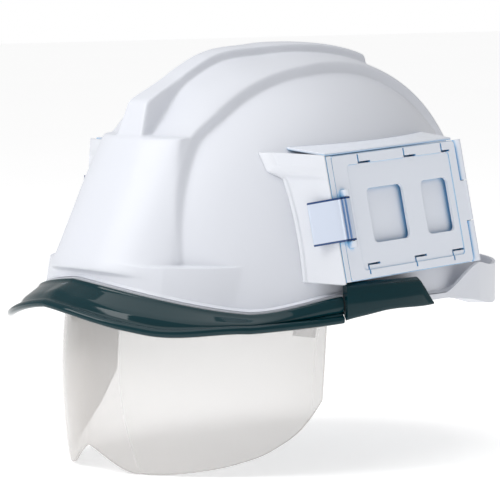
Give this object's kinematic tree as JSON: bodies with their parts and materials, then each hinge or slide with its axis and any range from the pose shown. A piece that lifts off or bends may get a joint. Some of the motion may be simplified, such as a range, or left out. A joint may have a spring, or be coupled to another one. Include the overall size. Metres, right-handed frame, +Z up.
{
  "type": "hard_hat",
  "caption": "White hard hat with a clear dark-green brim, a pull-down face shield and a clear card case on each side.",
  "frame": {"origin": "centre of the head opening, level with the front of the shell's rim", "axes": "+Z up, -Y the front of the hat, +X the wearer's left"},
  "size_m": [0.2348, 0.303, 0.233],
  "materials": {
    "shell_white": "gloss moulded white",
    "clear_green": "clear dark green moulding",
    "clear_smoke": "clear, very lightly smoked",
    "clear_plastic": "clear moulding with a cool tint",
    "white_nylon": "plain moulded nylon",
    "steel": "plain steel",
    "foam": "expanded bead foam",
    "grey_plastic": "fine-grained moulding",
    "dark_plastic": "fine-grained moulding",
    "webbing": "woven strap",
    "pad_fabric": "soft knitted pad"
  },
  "bodies": {
    "hat": {"outer_shell": "shell_white", "front_brim": "clear_green", "left_rim_panel": "clear_green", "right_rim_panel": "clear_green", "left_shield_rail": "white_nylon", "right_shield_rail": "white_nylon", "foam_liner": "foam", "headband": "grey_plastic", "brow_pad": "pad_fabric", "cradle_straps": "webbing", "hanger_clips": "grey_plastic", "left_case_bracket": "shell_white", "right_case_bracket": "shell_white", "left_case_tray": "clear_plastic", "right_case_tray": "clear_plastic", "left_door_pin": "steel", "right_door_pin": "steel", "left_top_flange": "clear_plastic", "right_top_flange": "clear_plastic", "bracket_screws": "steel", "strap_anchors": "white_nylon", "liner_pads": "pad_fabric"},
    "shield": {"face_shield": "clear_smoke", "left_shield_slider": "white_nylon", "right_shield_slider": "white_nylon", "shield_screws": "steel"},
    "left_door": {"left_case_door": "clear_plastic", "left_latch_pin": "steel"},
    "right_door": {"right_case_door": "clear_plastic", "right_latch_pin": "steel"},
    "left_latch": {"left_case_latch": "clear_plastic"},
    "right_latch": {"right_case_latch": "clear_plastic"},
    "nape": {"nape_band": "grey_plastic", "ratchet_housing": "grey_plastic"},
    "knob": {"ratchet_knob": "dark_plastic", "ratchet_pinion": "grey_plastic"}
  },
  "joints": [
    {"name": "shield_swing", "type": "hinge", "parent": "hat", "child": "shield", "pos_m": [0, 0.128, -0.055], "axis": [-1, 0, 0], "range_deg": [0, 14]},
    {"name": "left_door_hinge", "type": "hinge", "parent": "hat", "child": "left_door", "pos_m": [0.09849, 0.0648, 0.04087], "axis": [-0.1858, -0.0621, 0.9806], "range_deg": [0, 95]},
    {"name": "left_latch_hinge", "type": "hinge", "parent": "left_door", "child": "left_latch", "pos_m": [0.11209, -0.03427, 0.03666], "axis": [-0.1858, -0.0621, 0.9806], "range_deg": [0, 60]},
    {"name": "right_door_hinge", "type": "hinge", "parent": "hat", "child": "right_door", "pos_m": [-0.09849, 0.0648, 0.04087], "axis": [-0.1858, 0.0621, -0.9806], "range_deg": [0, 95]},
    {"name": "right_latch_hinge", "type": "hinge", "parent": "right_door", "child": "right_latch", "pos_m": [-0.11209, -0.03427, 0.03666], "axis": [-0.1858, 0.0621, -0.9806], "range_deg": [0, 60]},
    {"name": "nape_slide", "type": "slide", "parent": "hat", "child": "nape", "axis": [0, -1, 0], "range_m": [0, 0.008]},
    {"name": "knob_turn", "type": "hinge", "parent": "nape", "child": "knob", "pos_m": [0, 0.107, 0], "axis": [0, 1, 0], "range_deg": [0, 720]}
  ],
  "couplings": [
    {"joint": "knob_turn", "follows": "nape_slide", "rad_per_m": 1570.8}
  ]
}
